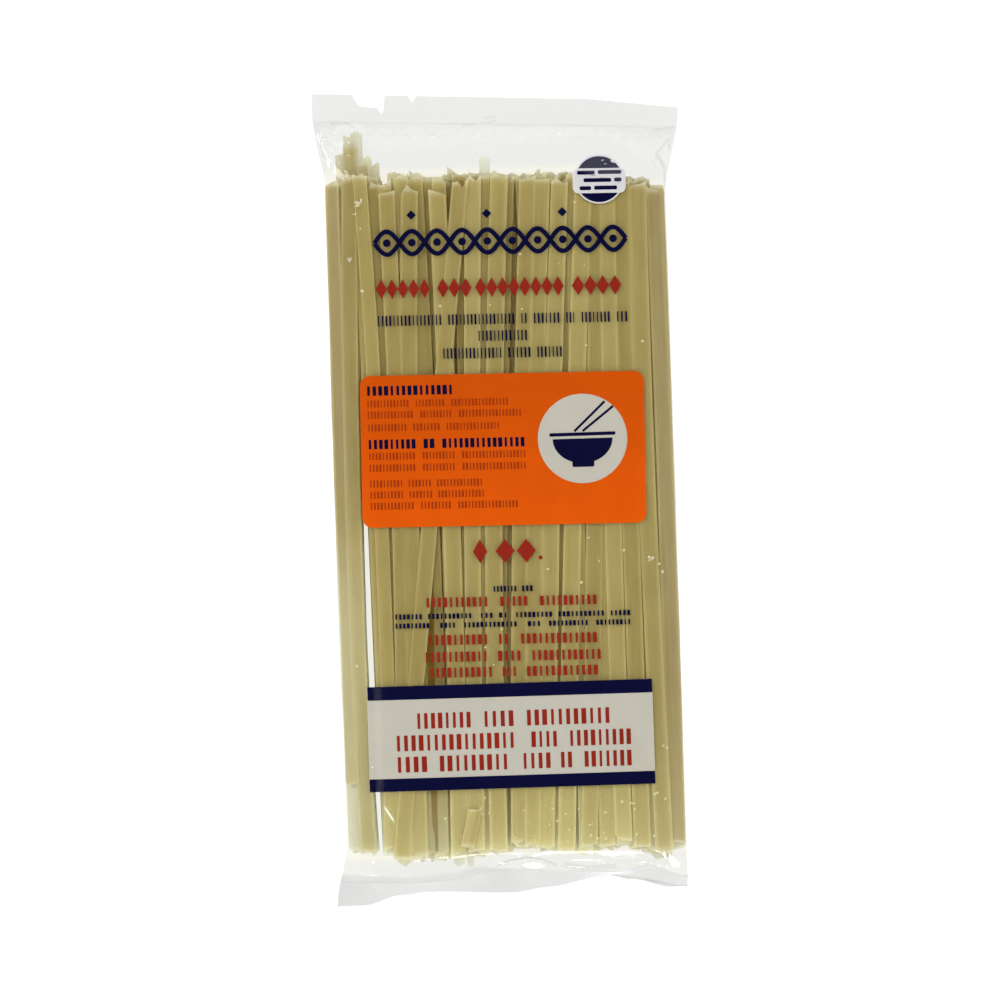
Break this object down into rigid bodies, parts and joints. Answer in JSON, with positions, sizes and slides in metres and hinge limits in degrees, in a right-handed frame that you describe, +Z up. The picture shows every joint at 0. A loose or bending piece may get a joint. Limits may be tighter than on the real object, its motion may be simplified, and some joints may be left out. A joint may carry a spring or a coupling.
{
  "type": "pack of rice stick noodles",
  "caption": "Clear sealed film pack of long flat rice stick noodles with a printed front, a flat fin seal at each end and uneven stick ends, lying on its back.",
  "frame": {"origin": "on the surface that the pack lies on, under the middle of its outline", "axes": "+Y towards the pack's top, along the sticks; +Z up, out of the printed side; +X to the right of the printed side"},
  "size_m": [0.1408, 0.3133, 0.0186],
  "materials": {
    "dried_rice_noodle": "dried rice flour ribbon, slightly translucent, satin surface with small chalky specks",
    "clear_film": "thin clear packing film, glossy, with fine creases and two welded end seals",
    "orange_print": "opaque orange ink printed on film",
    "navy_print": "opaque dark navy ink printed on film",
    "red_print": "red ink printed on film",
    "white_print": "thin greyish white ink printed on film"
  },
  "bodies": {
    "root": {"filled_bag": "dried_rice_noodle"}
  },
  "joints": []
}
